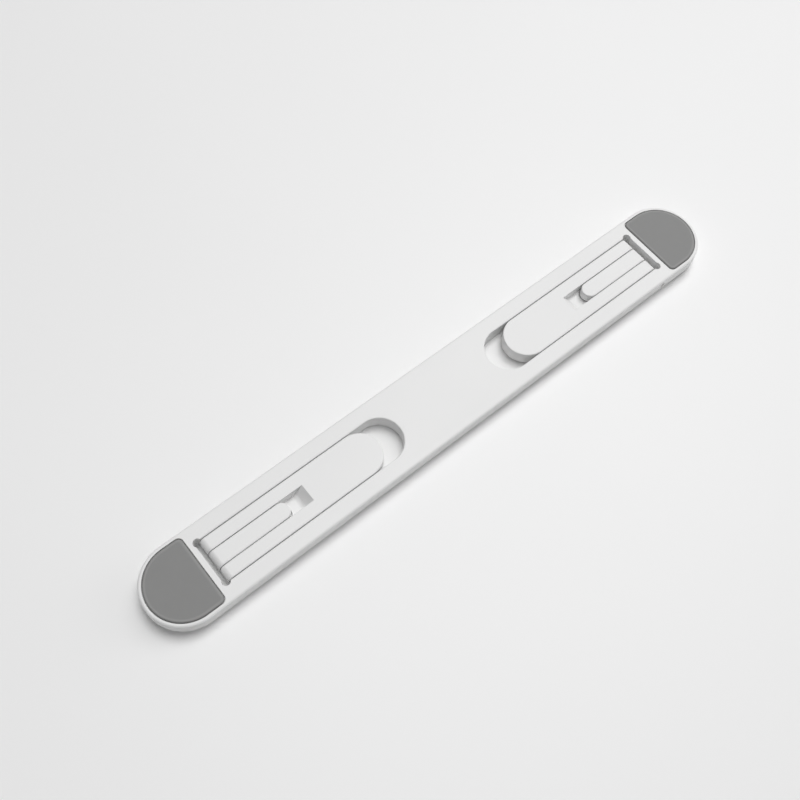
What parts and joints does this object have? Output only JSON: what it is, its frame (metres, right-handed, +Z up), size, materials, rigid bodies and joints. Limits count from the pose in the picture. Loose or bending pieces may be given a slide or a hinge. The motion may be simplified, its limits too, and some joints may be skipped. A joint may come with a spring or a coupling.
{
  "type": "laptop stand",
  "caption": "Slim strip laptop stand, folded flat: a rounded bar with grey end pads, long legs folded into its face and short legs nested in them, on steel pins.",
  "frame": {"origin": "under the middle of the bar, on the sticky face of the gel back that it lies on", "axes": "+X along the bar, +Y across it, +Z up out of the face that the legs fold into"},
  "size_m": [0.255, 0.0304, 0.008],
  "materials": {
    "white_plastic": "matte, fine texture",
    "grey_silicone": "matte",
    "gel": "satin, slightly tacky",
    "tape": "satin",
    "pin_steel": "drawn"
  },
  "bodies": {
    "bar": {"body_shell": "white_plastic", "base_cover": "white_plastic", "gel_pad": "gel", "gel_tape": "tape", "end_pad_right": "grey_silicone", "end_pad_left": "grey_silicone", "end_pad_tape_right": "tape", "end_pad_tape_left": "tape", "hinge_pin_right": "pin_steel", "hinge_pin_left": "pin_steel"},
    "long_leg_right": {"big_leg_right": "white_plastic"},
    "long_leg_left": {"big_leg_left": "white_plastic"},
    "short_leg_right": {"small_leg_right": "white_plastic"},
    "short_leg_left": {"small_leg_left": "white_plastic"}
  },
  "joints": [
    {"name": "long_leg_right_hinge", "type": "hinge", "parent": "bar", "child": "long_leg_right", "pos_m": [0.099, 0, 0.0048], "axis": [0, 1, 0], "range_deg": [0, 100]},
    {"name": "short_leg_right_hinge", "type": "hinge", "parent": "bar", "child": "short_leg_right", "pos_m": [0.099, 0, 0.0048], "axis": [0, 1, 0], "range_deg": [0, 100]},
    {"name": "long_leg_left_hinge", "type": "hinge", "parent": "bar", "child": "long_leg_left", "pos_m": [-0.099, 0, 0.0048], "axis": [0, -1, 0], "range_deg": [0, 100]},
    {"name": "short_leg_left_hinge", "type": "hinge", "parent": "bar", "child": "short_leg_left", "pos_m": [-0.099, 0, 0.0048], "axis": [0, -1, 0], "range_deg": [0, 100]}
  ]
}
